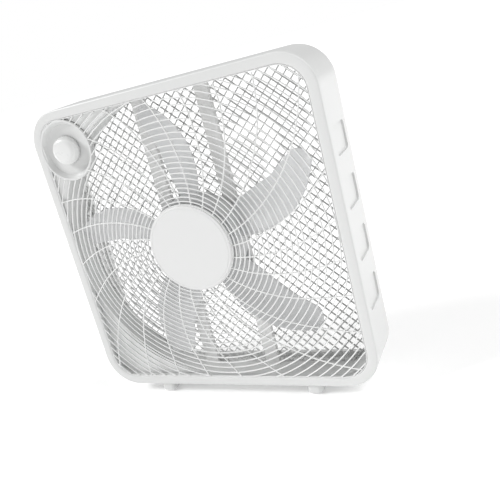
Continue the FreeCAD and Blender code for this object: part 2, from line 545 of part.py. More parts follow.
def make_front_grille():
    """Domed guard: rings and swept ribs between the hub seat and a rim that fills the opening."""
    width = size("dim.bar_width")
    rim = size("dim.rim_width")
    thick = size("dim.grille_thick")
    wide, tall = size(OPEN_W), size(OPEN_H)
    corner = size("dim.opening_corner")
    axis = size(AXIS)
    front = size(depth("0"))
    rise = size("dim.front_reach - dim.badge_thick")
    dial_x, dial_z = size(DIAL_X), size(f"{AXIS} + {DIAL_Z}")
    keep_out = size("dim.dish_radius") + rim
    hub = size("dim.hub_radius")

    def within(point):
        dx = max(abs(point.x) - (wide - corner), 0)
        dz = max(abs(point.z - axis) - (tall - corner), 0)
        clear = math.hypot(point.x - dial_x, point.z - dial_z) > keep_out
        return clear and math.hypot(dx, dz) <= corner - rim

    def window(inner, outer, rib):
        def at(r, share, side):
            sweep = RIB_SWEEP * (r - hub)
            turn = math.radians(FIRST_RIB + 360.0 / RIBS * (rib + share) + sweep) + side * width / 2 / r
            return Vector(r * math.cos(turn), front, axis + r * math.sin(turn))
        return [at(inner, 0, 1), at(inner, 0.5, 0), at(inner, 1, -1),
                at(outer, 1, -1), at(outer, 0.5, 0), at(outer, 0, 1)]

    field = Part.Face(outline_wire(wide - rim, tall - rim, corner - rim, corner - rim, "0"))
    dish = Part.Face(Part.Wire(Part.Circle(Vector(dial_x, front, dial_z), Vector(0, 1, 0),
                                           keep_out).toShape()))
    field = field.cut(dish)
    smallest = 3 * width * width
    windows = []
    radii = ring_radii()
    for inner, outer in zip(radii, radii[1:]):
        first = inner if inner == hub else inner + width / 2
        for rib in range(RIBS):
            p = window(first, outer - width / 2, rib)
            clear = [within(point) for point in p]
            if not any(clear):
                continue
            wire = Part.Wire([Part.Arc(*p[:3]).toShape(), Part.LineSegment(p[2], p[3]).toShape(),
                              Part.Arc(*p[3:]).toShape(), Part.LineSegment(p[5], p[0]).toShape()])
            if all(clear):
                windows.append(wire)
                continue
            pieces = Part.Face(wire).common(field).Faces
            windows += [face.OuterWire for face in pieces if face.Area > smallest]
    plan = Part.Face([outline_wire(wide, tall, corner, corner, "0")] + windows)
    plan.translate(Vector(0, -rise - PAST, 0))
    bars = plan.extrude(Vector(0, rise + 2 * PAST + thick, 0))
    edge = size(DOME)
    seat = hub + size("dim.seat_lip")
    far = 2 * edge

    def arc(back):
        return Part.Arc(Vector(seat, front - rise + back, 0),
                        Vector((seat + edge) / 2, front - rise * DOME_SHAPE + back, 0),
                        Vector(edge, front + back, 0)).toShape()

    def line(x1, y1, x2, y2):
        return Part.LineSegment(Vector(x1, front + y1, 0), Vector(x2, front + y2, 0)).toShape()

    section = Part.Wire([line(0, -rise, seat, -rise), arc(0), line(edge, 0, far, 0), line(far, 0, far, thick),
                         line(far, thick, edge, thick), arc(thick), line(seat, thick - rise, 0, thick - rise),
                         line(0, thick - rise, 0, -rise)])
    dome = Part.Face(section).revolve(Vector(), Vector(0, 1, 0), 360)
    dome.translate(Vector(0, 0, axis))
    dish_room = Part.makeCylinder(size("dim.dish_radius"), 4 * rise, Vector(dial_x, front - 2 * rise, dial_z),
                                  Vector(0, 1, 0))
    grille = bars.common(dome).cut(dish_room)
    node(feature("FrontGrille", grille), "front_grille")
    badge = rod("BadgeBlank", "dim.hub_radius", "-dim.front_reach", "dim.badge_thick")
    soft = rounded(badge, "BadgeRound", size("dim.badge_round"),
                   lambda e: abs(e.BoundBox.YMax - size(depth("-dim.front_reach"))) < NEAR)
    node(soft, "hub_badge")


def make_rear_grille():
    """Rear guard: a margin plate, and two crossing layers of diagonal bars inside it."""
    plate = prism("RearPlate", f"{HALF_W} - dim.wall", f"{HALF_H} - dim.wall",
                  "dim.body_corner - dim.wall", LATTICE_FRONT, "dim.rear_plate")
    window = prism("RearWindow", GUIDE_W, GUIDE_H, "dim.guide_corner", f"{LATTICE_FRONT} - {PAST}",
                   f"dim.rear_plate + 2 * {PAST}", GUIDE_ROUND)
    gland = rod("GlandHole", "dim.gland_radius", f"{LATTICE_FRONT} - {PAST}", f"dim.rear_plate + 2 * {PAST}",
                DIAL_X, GLAND_Z)
    reliefs = [block(f"RearRelief{i}", "dim.wall * 2", "dim.body_depth", PAD_SPAN,
                     f"{side} * ({HALF_W} - dim.wall)", "dim.bezel_depth", "0")
               for i, side in enumerate((-1, 1))]
    margin = cut("RearMargin", plate, window, gland, *reliefs)
    hub = tube("RearHub", "dim.cover_radius + dim.cover_flange", "dim.case_radius + dim.cover_gap",
               LATTICE_FRONT, "dim.rear_plate")
    node(group("RearGrille", margin, hub), "rear_grille")

    pitch = size("dim.lattice_pitch")
    bar = size("dim.lattice_bar")
    layer = size("dim.rear_plate") / 2
    smallest = 2 * bar * bar * layer
    axis = size(AXIS)
    start = size(depth(LATTICE_FRONT))
    guide_w, guide_h = size(GUIDE_W), size(GUIDE_H)
    face = Part.Face(outline_wire(guide_w, guide_h, size(GUIDE_ROUND), size("dim.guide_corner"),
                                  LATTICE_FRONT))
    middle = Part.Face(Part.Wire(Part.Circle(Vector(0, start, axis), Vector(0, 1, 0),
                                             size("dim.cover_radius + dim.cover_flange")).toShape()))
    field = face.cut(middle).extrude(Vector(0, layer, 0))
    reach = math.hypot(guide_w, guide_h)
    count = int(reach / pitch)
    bars = []
    for level, turn in enumerate((45, -45)):
        for i in range(-count, count + 1):
            strip = Part.makeBox(2 * reach, layer, bar, Vector(-reach, start, i * pitch - bar / 2))
            strip.rotate(Vector(), Vector(0, 1, 0), turn)
            strip.translate(Vector(0, 0, axis))
            for solid in strip.common(field).Solids:
                if solid.Volume > smallest:
                    solid.translate(Vector(0, level * layer, 0))
                    bars.append(solid)
    node(feature("RearLattice", Part.Compound(bars)), "rear_lattice")

    cover = rod("CoverBlank", "dim.cover_radius", f"{LATTICE_FRONT} + dim.rear_plate",
                f"{COVER_REAR} - {LATTICE_FRONT} - dim.rear_plate")
    rear = size(depth(COVER_REAR))
    cover = rounded(cover, "CoverRound", size("dim.cover_round"), lambda e: e.BoundBox.YMin > rear - NEAR)
    room = rod("CoverRoom", "dim.cover_radius - dim.guide_wall", LATTICE_FRONT,
               f"{COVER_REAR} - {LATTICE_FRONT} - dim.cover_back")
    slots = []
    for i in range(SLOTS):
        slots.append(block(f"CoverSlot{i}", "dim.slot_wide", "4 * dim.cover_back", "dim.slot_tall", "0",
                           f"{COVER_REAR} - 2 * dim.cover_back", f"{i - SLOTS // 2} * dim.slot_pitch"))
    flange = tube("CoverFlange", "dim.cover_radius + dim.cover_flange", "dim.cover_radius - dim.guide_wall",
                  f"{LATTICE_FRONT} + dim.rear_plate", "dim.guide_wall")
    body = fuse("CoverBody", cut("CoverShell", cover, room, *slots), flange)
    node(body, "motor_cover")
    bush = fuse("GlandBody", rod("GlandShank", "dim.gland_radius", f"{LATTICE_FRONT} - dim.gland_inside",
                                 "dim.rear_plate + dim.gland_inside", DIAL_X, GLAND_Z),
                taper("GlandCollar", "dim.gland_radius + dim.collar_lap", "dim.gland_radius + dim.collar_tip",
                      f"{LATTICE_FRONT} + dim.rear_plate", "dim.collar_long", DIAL_X, GLAND_Z))
    node(cut("CordGland", bush, rod("GlandBore", "dim.cord_radius", "0", "dim.body_depth",
                                    DIAL_X, GLAND_Z)), "cord_gland")


def blade_shape():
    """One thin twisted blade along +X, lofted through flat sections."""
    tip = size(TIP)
    root = size("dim.cup_radius")
    front = size(depth("dim.blade_front"))
    rear = size(depth(BLADE_REAR))
    half = size("dim.blade_thick") / 2
    travel = rear - front
    wires = []
    for share, trail, lead, flat in BLADE_SECTIONS:
        x = root + (tip - root) * share
        y_trail = front + travel * flat
        y_lead = rear - travel * flat
        chord = Vector(0, y_lead - y_trail, lead - trail)
        across = Vector(0, chord.z, -chord.y).normalize()
        a = Vector(x, y_trail, trail)
        b = Vector(x, y_lead, lead)
        middle = (a + b) * 0.5 + across * chord.Length * CAMBER

        def skin(offset):
            curve = Part.BSplineCurve()
            curve.interpolate([a + across * offset, middle + across * offset, b + across * offset])
            return curve.toShape()

        upper, lower = skin(half), skin(-half)
        ends = [Part.LineSegment(p + across * half, p - across * half).toShape() for p in (a, b)]
        wires.append(Part.Wire([upper, ends[1], lower, ends[0]]))
    return Part.makeLoft(wires, True, False)


def make_impeller():
    """Five swept blades round a cup-shaped hub, on the motor shaft."""
    cup = rod("CupBlank", "dim.cup_radius", "dim.cup_front", CUP_DEEP)
    front = size(depth("dim.cup_front"))
    cup = rounded(cup, "CupRound", size("dim.cup_round"), lambda e: e.BoundBox.YMax < front + NEAR)
    room = rod("CupRoom", "dim.cup_radius - dim.guide_wall", "dim.cup_front + dim.guide_wall", CUP_DEEP)
    boss = rod("CupBoss", "dim.boss_radius", "dim.cup_front",
               f"{CASE_FRONT} - dim.bearing_proud - dim.boss_gap - dim.cup_front")
    bore = rod("CupBore", "dim.shaft_radius", "0", "dim.body_depth")
    hub = cut("ImpellerHub", fuse("HubBody", cut("HubShell", cup, room), boss), bore)
    doc.recompute()
    axis = size(AXIS)
    clear = Part.makeCylinder(size("dim.cup_radius - dim.guide_wall / 2"), 4 * size(CUP_DEEP),
                              Vector(0, size(depth(f"-{CUP_DEEP}")), 0), Vector(0, 1, 0))
    blade = blade_shape().cut(clear)
    blades = []
    for i in range(BLADES):
        turned = blade.copy()
        turned.rotate(Vector(), Vector(0, 1, 0), -(FIRST_BLADE + 360.0 / BLADES * i))
        turned.translate(Vector(0, 0, axis))
        blades.append(turned)
    node(feature("Impeller", hub.Shape.fuse(blades)), "impeller")
    nut = doc.addObject("Part::Prism", "NutBlank")
    nut.Polygon = 6
    nut.setExpression("Circumradius", "dim.nut_radius")
    nut.setExpression("Height", "dim.nut_tall")
    place(nut, "0", "dim.cup_front - dim.nut_tall", "0", RINGS_ALONG_Y)
    node(cut("BladeNut", nut, rod("NutBore", "dim.shaft_radius", "-dim.nut_tall * 2", "dim.nut_tall * 4")),
         "blade_nut")
    node(rod("MotorShaft", "dim.shaft_radius", "dim.cup_front - dim.nut_tall - 2",
             f"{CASE_REAR_SEAT} - dim.cup_front + dim.nut_tall + 1"), "motor_shaft")
    node(tube("Rotor", "dim.rotor_radius", "dim.shaft_radius", CORE_FRONT, "dim.core_long"), "rotor")


def make_motor():
    """Motor, its mounting plate and the two bars that carry it."""
    strut_front = f"{PLATE_FRONT} + dim.plate_thick"
    duct = prism("StrutDuct", GUIDE_W, GUIDE_H, "dim.guide_corner", "0", "dim.body_depth", GUIDE_ROUND)
    for side, label in ((-1, "motor_bar_left"), (1, "motor_bar_right")):
        middle = f"{side} * dim.bar_offset"
        blank = block(f"StrutBlank{side + 1}", "dim.strut_width", STRUT_DEEP, f"2 * {GUIDE_H}",
                      middle, strut_front, "0")
        room = block(f"StrutRoom{side + 1}", "dim.strut_width - 2 * dim.sheet_thick", STRUT_DEEP,
                     f"2 * {GUIDE_H} - 2 * dim.sheet_thick", middle, f"{strut_front} + dim.sheet_thick", "0")
        spots = STRUT_SPOTS[:2] if side < 0 else STRUT_SPOTS[2:]
        pilots = holes(f"StrutPilot{side + 1}", spots, PLATE_FRONT, STRUT_DEEP)
        trimmed = common(f"StrutTrim{side + 1}", cut(f"StrutChannel{side + 1}", blank, room, *pilots), duct)
        node(trimmed, label)
    plate = block("PlateBlank", "2 * dim.bar_offset + dim.strut_width", "dim.plate_thick", "dim.plate_tall",
                  "0", PLATE_FRONT, "0")
    hole = rod("PlateHole", "dim.stator_radius + dim.plate_gap", "0", "dim.body_depth")
    pilots = holes("PlatePilot", STRUT_SPOTS, "0", "dim.body_depth")
    ties = holes("PlateTie", CASE_SPOTS, "0", "dim.body_depth")
    node(cut("MotorPlate", plate, hole, *pilots, *ties), "motor_plate")
    node(screws("StrutScrew", STRUT_SPOTS, f"{PLATE_FRONT} - dim.head_tall",
                "dim.plate_thick + dim.sheet_thick"), "plate_screws")

    inner = "dim.case_radius - dim.case_wall"
    case = rod("FrontCaseBlank", "dim.case_radius", CASE_FRONT, f"{PLATE_FRONT} - {CASE_FRONT}")
    y = size(depth(CASE_FRONT))
    case = rounded(case, "FrontCaseRound", size("dim.case_round"), lambda e: e.BoundBox.YMax < y + NEAR)
    room = rod("FrontCaseRoom", inner, f"{CASE_FRONT} + dim.case_wall", "dim.body_depth")
    seat = rod("FrontSeat", "dim.bearing_radius + dim.case_wall", f"{CASE_FRONT} - dim.bearing_proud",
               "dim.bearing_long")
    bore = rod("FrontSeatBore", "dim.bearing_radius", "0", "dim.body_depth")
    lugs = fuse("FrontLugs", *holes("FrontLug", CASE_SPOTS, f"{PLATE_FRONT} - dim.lug_long", "dim.lug_long",
                                     "dim.lug_radius"))
    threads = holes("FrontThread", CASE_SPOTS, f"{PLATE_FRONT} - dim.thread_deep",
                    f"dim.thread_deep + 2 * {PAST}")
    body = fuse("FrontCaseBody", cut("FrontCaseShell", case, room), seat, lugs)
    node(cut("MotorFrontCase", body, bore, *threads), "motor_front_case")

    start = f"{PLATE_FRONT} + dim.plate_thick"
    case = rod("RearCaseBlank", "dim.case_radius", start, f"{CASE_REAR} - {PLATE_FRONT} - dim.plate_thick")
    y = size(depth(CASE_REAR))
    case = rounded(case, "RearCaseRound", size("dim.case_round"), lambda e: e.BoundBox.YMin > y - NEAR)
    room = rod("RearCaseRoom", inner, "0", CASE_REAR_SEAT)
    seat = rod("RearSeat", "dim.bearing_radius + dim.case_wall", f"{CASE_REAR_SEAT} - dim.bearing_long",
               f"dim.bearing_long + {PAST}")
    bore = rod("RearSeatBore", "dim.bearing_radius", "0", CASE_REAR_SEAT)
    lugs = fuse("RearLugs", *holes("RearLug", CASE_SPOTS, start, "dim.lug_long", "dim.lug_radius"))
    ties = holes("RearTie", CASE_SPOTS, "0", "dim.body_depth")
    heads = holes("RearHead", CASE_SPOTS, f"{start} + dim.lug_long", "dim.body_depth",
                  "dim.screw_head + dim.head_gap")
    body = fuse("RearCaseBody", cut("RearCaseShell", case, room), seat, lugs)
    node(cut("MotorRearCase", body, bore, *ties, *heads), "motor_rear_case")
    node(screws("CaseScrew", CASE_SPOTS, f"{start} + dim.lug_long + dim.head_tall",
                "dim.lug_long + dim.plate_thick + dim.thread_deep", -1),
         "motor_screws")

    bushes = [("front_bearing", f"{CASE_FRONT} - dim.bearing_proud"),
              ("rear_bearing", f"{CASE_REAR_SEAT} - dim.bearing_long")]
    for label, start in bushes:
        node(tube(f"Bush{len(nodes)}", "dim.bearing_radius", "dim.shaft_radius + dim.fit_gap", start,
                  "dim.bearing_long"), label)
    node(tube("Stator", "dim.stator_radius", "dim.rotor_radius + dim.air_gap", CORE_FRONT,
              "dim.core_long"), "stator")
    coils = [tube(f"Coil{i}", "dim.stator_radius - dim.coil_inset", "dim.rotor_radius + dim.coil_gap", start,
                  "dim.coil_long")
             for i, start in enumerate((f"{CORE_FRONT} - dim.coil_long", f"{CORE_FRONT} + dim.core_long"))]
    node(group("StatorCoils", *coils), "stator_coils")


def make_control():
    """Fluted knob, rotary switch, its spindle and its nut."""
    rear = "dim.dish_depth - dim.knob_gap"
    front = f"({rear}) - dim.knob_tall"
    blank = rod("KnobBlank", "dim.knob_radius", front, "dim.knob_tall", DIAL_X, DIAL_Z)
    y = size(depth(front))
    soft = rounded(blank, "KnobRound", size("dim.knob_round"), lambda e: e.BoundBox.YMax < y + NEAR)
    room = rod("KnobRoom", "dim.bush_radius + dim.nut_room", f"({rear}) - dim.knob_room",
               f"dim.knob_room + {PAST}", DIAL_X, DIAL_Z)
    bore = rod("KnobBore", "dim.spindle_radius", f"({rear}) - dim.knob_bore", f"dim.knob_bore + {PAST}",
               DIAL_X, DIAL_Z)
    flutes = []
    for i in range(FLUTES):
        turn = 2 * math.pi * i / FLUTES
        flutes.append(rod(f"Flute{i}", "dim.flute_radius", f"({front}) + dim.knob_tall * {FLUTE_START}",
                          "dim.knob_tall",
                          f"{DIAL_X} + (dim.knob_radius + dim.flute_out) * {math.cos(turn):.5f}",
                          f"{DIAL_Z} + (dim.knob_radius + dim.flute_out) * {math.sin(turn):.5f}"))
    grip = group("KnobFlutes", *flutes)
    node(cut("ControlKnob", cut("KnobHollow", soft, room, bore), grip), "control_knob")

    floor_rear = "dim.dish_depth + dim.dish_wall"
    can = rod("SwitchCan", "dim.switch_radius", floor_rear, "dim.switch_deep", DIAL_X, DIAL_Z)
    bush = rod("SwitchBush", "dim.bush_radius", "dim.dish_depth - dim.bush_proud",
               f"dim.bush_proud + dim.dish_wall + {PAST}", DIAL_X, DIAL_Z)
    tags = [block(f"SwitchTag{i}", "dim.tag_wide", "dim.tag_long", "dim.tag_thick",
                  f"{DIAL_X} + {i - (TAGS - 1) / 2} * dim.tag_pitch",
                  f"{floor_rear} + dim.switch_deep", DIAL_Z) for i in range(TAGS)]
    hole = rod("SwitchHole", "dim.spindle_radius + dim.fit_gap", "0",
               f"{floor_rear} + dim.spindle_deep + {PAST}",
               DIAL_X, DIAL_Z)
    body = fuse("SwitchFused", can, bush, *tags)
    node(cut("RotarySwitch", body, hole), "rotary_switch")
    node(rod("SwitchSpindle", "dim.spindle_radius", f"({rear}) - dim.knob_bore",
             f"{floor_rear} + dim.spindle_deep + dim.knob_bore - ({rear})", DIAL_X, DIAL_Z), "switch_spindle")
    nut = doc.addObject("Part::Prism", "SwitchNutBlank")
    nut.Polygon = 6
    nut.setExpression("Circumradius", "dim.bush_radius + dim.switch_nut_lap")
    nut.setExpression("Height", "dim.switch_nut_tall")
    place(nut, DIAL_X, "dim.dish_depth - dim.switch_nut_tall", DIAL_Z, RINGS_ALONG_Y)
    bore = rod("SwitchNutBore", "dim.bush_radius", "0", "dim.body_depth", DIAL_X, DIAL_Z)
    node(cut("SwitchNut", nut, bore), "switch_nut")
    capacitor = block("CapacitorBlank", "dim.capacitor_wide", "dim.capacitor_deep", "dim.capacitor_tall",
                      f"{DIAL_X} + dim.switch_radius * 2", "dim.bezel_depth + dim.guide_wall",
                      f"{HALF_H} - dim.wall - dim.capacitor_tall / 2")
    soft = rounded(capacitor, "CapacitorRound", size("dim.capacitor_round"),
                   lambda e: e.BoundBox.YLength > 0.9 * size("dim.capacitor_deep"))
    node(soft, "run_capacitor")


make_front_frame()
make_rear_shell()
make_feet()
make_air_guide()
make_front_grille()
make_rear_grille()
make_impeller()
make_motor()
make_control()
node(screws("FrameScrew", FRAME_SPOTS, "dim.bezel_depth + dim.guide_wall + dim.head_tall",
            "dim.guide_wall + dim.bezel_depth / 2", -1), "frame_screws")
doc.recompute()

for obj in doc.Objects:
    if "Invalid" in obj.State or "Error" in obj.State:
        raise RuntimeError(f"{obj.Name} failed: {obj.State}")
os.makedirs("parts", exist_ok=True)
for label, obj in nodes.items():
    shape = obj.Shape
    if shape.isNull() or not shape.isValid():
        raise RuntimeError(f"{label} has no valid shape")
    print(f"{label}: {len(shape.Solids)} solids, {shape.Volume:.0f} mm3")
    shape.exportStep(f"parts/{label}.step")
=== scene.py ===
import json
import math
import bmesh
import bpy
from mathutils import Matrix, Vector


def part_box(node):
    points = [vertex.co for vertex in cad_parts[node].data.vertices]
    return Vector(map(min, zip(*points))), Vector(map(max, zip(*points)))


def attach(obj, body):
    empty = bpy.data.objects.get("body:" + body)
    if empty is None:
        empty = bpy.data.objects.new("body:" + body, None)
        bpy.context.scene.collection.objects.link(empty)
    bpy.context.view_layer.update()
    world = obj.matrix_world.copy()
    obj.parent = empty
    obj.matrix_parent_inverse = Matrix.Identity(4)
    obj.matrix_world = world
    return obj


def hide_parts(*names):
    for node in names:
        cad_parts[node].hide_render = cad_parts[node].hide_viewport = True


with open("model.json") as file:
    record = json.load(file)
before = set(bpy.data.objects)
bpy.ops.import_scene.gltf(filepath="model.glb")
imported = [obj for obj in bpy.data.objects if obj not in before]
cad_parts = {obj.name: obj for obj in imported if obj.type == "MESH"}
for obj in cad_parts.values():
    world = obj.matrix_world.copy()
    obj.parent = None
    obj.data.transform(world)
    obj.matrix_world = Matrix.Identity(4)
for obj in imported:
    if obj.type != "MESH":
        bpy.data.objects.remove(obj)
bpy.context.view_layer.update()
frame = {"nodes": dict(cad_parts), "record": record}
nodes = frame["nodes"]

# ---------------------------------------------------------------- sizes, in metres, from the frame

MM = 0.001


def middle(node):
    """The middle of a CAD node's box."""
    low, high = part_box(node)
    return (low + high) / 2


frame_low, frame_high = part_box("front_frame")
badge_low, badge_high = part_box("hub_badge")
grille_low, grille_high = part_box("front_grille")
lattice_low, lattice_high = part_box("rear_lattice")
impeller_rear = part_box("impeller")[1].y
knob_low, knob_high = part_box("control_knob")

HALF_W = (frame_high.x - frame_low.x) / 2
HALF_H = (frame_high.z - frame_low.z) / 2
OPEN_W = (grille_high.x - grille_low.x) / 2
OPEN_H = (grille_high.z - grille_low.z) / 2
AXIS = middle("hub_badge").z
FRONT = frame_low.y
BORDER = HALF_W - OPEN_W
CORNER = 60 * MM  # corner radius of the housing
OPEN_CORNER = CORNER - BORDER
BEZEL_DEPTH = frame_high.y - frame_low.y
HUB = (badge_high.z - badge_low.z) / 2
RISE = FRONT - badge_high.y
DOME = 236 * MM  # radius at which the grille's dome meets the flat margin
DIAL = Vector((middle("control_knob").x, 0, middle("control_knob").z))
DISH = 54 * MM  # outside radius of the knob's dish
UP_Y = Vector((0, 1, 0))
HUB_CENTRE = Vector((0, 0, AXIS))
QUARTER = math.pi / 2
FULL_TURN = 2 * math.pi

# ---------------------------------------------------------------- materials

COLOUR_A, COLOUR_B = 6, 7  # the colour inputs of a mix node
COLOUR_OUT = 2  # its colour output
IOR_PLASTIC = 1.49
COAT_ROUGHNESS = 0.25
GRAIN = 0.04 * MM
COARSE_GRAIN = 0.07 * MM
SCRATCH = 0.03 * MM
LAYER = 0.1 * MM
WIRE = 0.3 * MM

class Value:
    """A shader socket that takes part in ordinary sums."""

    def __init__(self, paint, socket):
        self.paint = paint
        self.socket = socket

    def maths(self, operation, *terms):
        node = self.paint.add("ShaderNodeMath", {"operation": operation}, *terms)
        return Value(self.paint, node.outputs[0])

    def __add__(self, other):
        return self.maths("ADD", self, other)

    def __radd__(self, other):
        return self.maths("ADD", other, self)

    def __sub__(self, other):
        return self.maths("SUBTRACT", self, other)

    def __mul__(self, other):
        return self.maths("MULTIPLY", self, other)

    def clamped(self):
        node = self.paint.add("ShaderNodeClamp", {}, self)
        return Value(self.paint, node.outputs[0])


class Paint:
    """A material under construction: nodes are added by type, settings and socket values."""

    def __init__(self, name):
        self.material = bpy.data.materials.new(name)
        self.material.use_nodes = True
        self.tree = self.material.node_tree
        self.shader = self.tree.nodes["Principled BSDF"]
        self.spot = Value(self, self.add("ShaderNodeTexCoord", {}).outputs["Object"])

    def add(self, kind, settings, *inputs, **named):
        node = self.tree.nodes.new(kind)
        for key, setting in settings.items():
            setattr(node, key, setting)
        for place, value in list(enumerate(inputs)) + list(named.items()):
            key = place if isinstance(place, int) else place.replace("_", " ")
            self.feed(node.inputs[key], value)
        return node

    def feed(self, socket, value):
        if isinstance(value, Value):
            self.tree.links.new(value.socket, socket)
        elif value is not None:
            socket.default_value = value

    def noise(self, scale, detail=2.0, stretch=None, roughness=0.5):
        """Noise on object coordinates, 0 to 1; scale is in features per metre."""
        spot = self.spot
        if stretch:
            spot = Value(self, self.add("ShaderNodeMapping", {}, spot, None, None, stretch).outputs[0])
        node = self.add("ShaderNodeTexNoise", {}, Vector=spot, Scale=scale, Detail=detail,
                        Roughness=roughness)
        return Value(self, node.outputs[0])

    def mix(self, share, first, second):
        """Two colours by a share from 0 to 1."""
        node = self.add("ShaderNodeMix", {"data_type": "RGBA"})
        self.feed(node.inputs["Factor"], share)
        for key, colour in ((COLOUR_A, first), (COLOUR_B, second)):
            self.feed(node.inputs[key], (*colour, 1))
        return Value(self, node.outputs[COLOUR_OUT])

    def bump(self, height, distance, strength):
        node = self.add("ShaderNodeBump", {}, Height=height, Strength=strength, Distance=distance)
        self.tree.links.new(node.outputs[0], self.shader.inputs["Normal"])

    def set(self, **sockets):
        for key, value in sockets.items():
            self.feed(self.shader.inputs[key.replace("_", " ")], value)
        return self.material


def moulded(name, colour, shade, roughness, grain=GRAIN, coat=0.12):
    """Injection-moulded plastic: spark-eroded grain, faint flow marks and handling dust."""
    paint = Paint(name)
    flow = paint.noise(9, 3, stretch=(1, 1, 0.35))
    dust = paint.noise(55, 5, roughness=0.65)
    mottle = (flow * 0.55 + dust * 0.45).clamped()
    grain_height = paint.noise(1700, 2) * 0.7 + paint.noise(420, 2) * 0.3
    paint.bump(grain_height, grain, 0.35)
    return paint.set(Base_Color=paint.mix(mottle, shade, colour),
                     Roughness=roughness + (dust - 0.5) * 0.16 + (flow - 0.5) * 0.08,
                     Coat_Weight=coat, Coat_Roughness=COAT_ROUGHNESS, IOR=IOR_PLASTIC)


def metal(name, colour, shade, roughness, stretch=(1, 1, 1), metallic=1.0, scale=160):
    """Sheet or turned metal: drawn streaks and a fine tarnish."""
    paint = Paint(name)
    streak = paint.noise(scale, 4, stretch=stretch)
    stain = paint.noise(34, 4, roughness=0.6)
    paint.bump(streak, SCRATCH, 0.5)
    return paint.set(Base_Color=paint.mix((stain * 0.7 + streak * 0.3).clamped(), shade, colour),
                     Roughness=roughness + (streak - 0.5) * 0.22, Metallic=metallic)


def laminated(name):
    """Stacked steel laminations of a motor core."""
    paint = Paint(name)
    node = paint.add("ShaderNodeTexWave", {"bands_direction": "Y"}, Vector=paint.spot, Scale=320.0,
                     Distortion=0.4)
    layers = Value(paint, node.outputs["Fac"])
    paint.bump(layers, LAYER, 0.6)
    return paint.set(Base_Color=paint.mix(layers, (0.05, 0.05, 0.055), (0.16, 0.16, 0.17)),
                     Roughness=0.5 + (paint.noise(300) - 0.5) * 0.2, Metallic=0.8)


def wound(name):
    """Enamelled copper wire laid in close turns."""
    paint = Paint(name)
    node = paint.add("ShaderNodeTexWave", {"wave_type": "RINGS", "rings_direction": "Y"},
                     Vector=paint.spot, Scale=260.0, Distortion=1.0)
    turns = Value(paint, node.outputs["Fac"])
    paint.bump(turns, WIRE, 0.8)
    return paint.set(Base_Color=paint.mix(turns, (0.22, 0.07, 0.02), (0.62, 0.25, 0.08)),
                     Roughness=0.34 + (paint.noise(500) - 0.5) * 0.15, Metallic=0.7)


WHITE = moulded("white_body", (0.71, 0.715, 0.71), (0.67, 0.675, 0.67), 0.36)
GUARD = moulded("white_grille", (0.81, 0.815, 0.81), (0.77, 0.775, 0.77), 0.38)
BADGE = moulded("white_badge", (0.74, 0.74, 0.74), (0.705, 0.71, 0.705), 0.45, grain=COARSE_GRAIN)
KNOB = moulded("white_knob", (0.76, 0.765, 0.76), (0.72, 0.725, 0.72), 0.28, coat=0.3)
# The blades are grey plastic, but their colour is set lighter than that grey and even above the white
# body: painted light to offset the shade behind the grille and inside the housing.
GREY_BLADE_PAINTED_LIGHT = moulded("grey_blade", (0.74, 0.745, 0.75), (0.695, 0.70, 0.705), 0.34, coat=0.2)
# The air guide is the same white plastic as the body, set lighter: painted light to offset the shade
# behind the bezel and grille.
INNER_PLASTIC_PAINTED_LIGHT = moulded("inner_plastic", (0.80, 0.805, 0.80), (0.76, 0.765, 0.76), 0.5)
# The rear guard is the same white plastic as the body, set darker: painted shade for the backlit guard.
REAR_PAINTED_SHADE = moulded("rear_guard_painted_shade", (0.64, 0.645, 0.64), (0.59, 0.595, 0.59), 0.45)
GREY_RUBBER = moulded("gland_grey", (0.42, 0.42, 0.42), (0.34, 0.34, 0.34), 0.65, coat=0.0)
BLACK = moulded("switch_body", (0.035, 0.035, 0.038), (0.02, 0.02, 0.022), 0.45)
POTTED = moulded("film_case", (0.05, 0.05, 0.055), (0.03, 0.03, 0.035), 0.35)
STRUT = metal("strut_steel", (0.86, 0.86, 0.855), (0.80, 0.80, 0.795), 0.4, (1, 1, 0.06), 0.0)
CASE = metal("case_steel", (0.55, 0.56, 0.57), (0.42, 0.43, 0.44), 0.36, (1, 0.08, 1))
SHAFT = metal("shaft_steel", (0.62, 0.62, 0.63), (0.5, 0.5, 0.51), 0.22, (1, 12, 1))
ZINC = metal("screw_zinc", (0.66, 0.66, 0.66), (0.5, 0.5, 0.48), 0.32)
BRONZE = metal("bronze_bush", (0.60, 0.42, 0.20), (0.42, 0.27, 0.12), 0.45, scale=700)
CORE = laminated("core_steel")
COPPER = wound("winding")

FINISHES = {"white_body": WHITE, "white_grille": GUARD, "white_knob": KNOB, "grey_blade": GREY_BLADE_PAINTED_LIGHT,
            "inner_plastic": INNER_PLASTIC_PAINTED_LIGHT, "strut_steel": STRUT, "case_steel": CASE, "shaft_steel": SHAFT,
            "core_steel": CORE, "winding": COPPER, "bronze_bush": BRONZE, "screw_zinc": ZINC,
            "switch_body": BLACK, "film_case": POTTED, "gland_grey": GREY_RUBBER}

for entry in frame["record"]["subparts"]:
    piece = nodes[entry["node"]]
    piece.data.materials.clear()
    piece.data.materials.append(FINISHES[entry["material_slot"]])

# ---------------------------------------------------------------- modelling helpers

WELD = 0.01 * MM
RING_SPOTS = 1440  # places tried round each ring for the ends of its bars
SHORTEST = 2  # spots in the shortest stretch that is kept
DISH_OVERLAP = 1 * MM

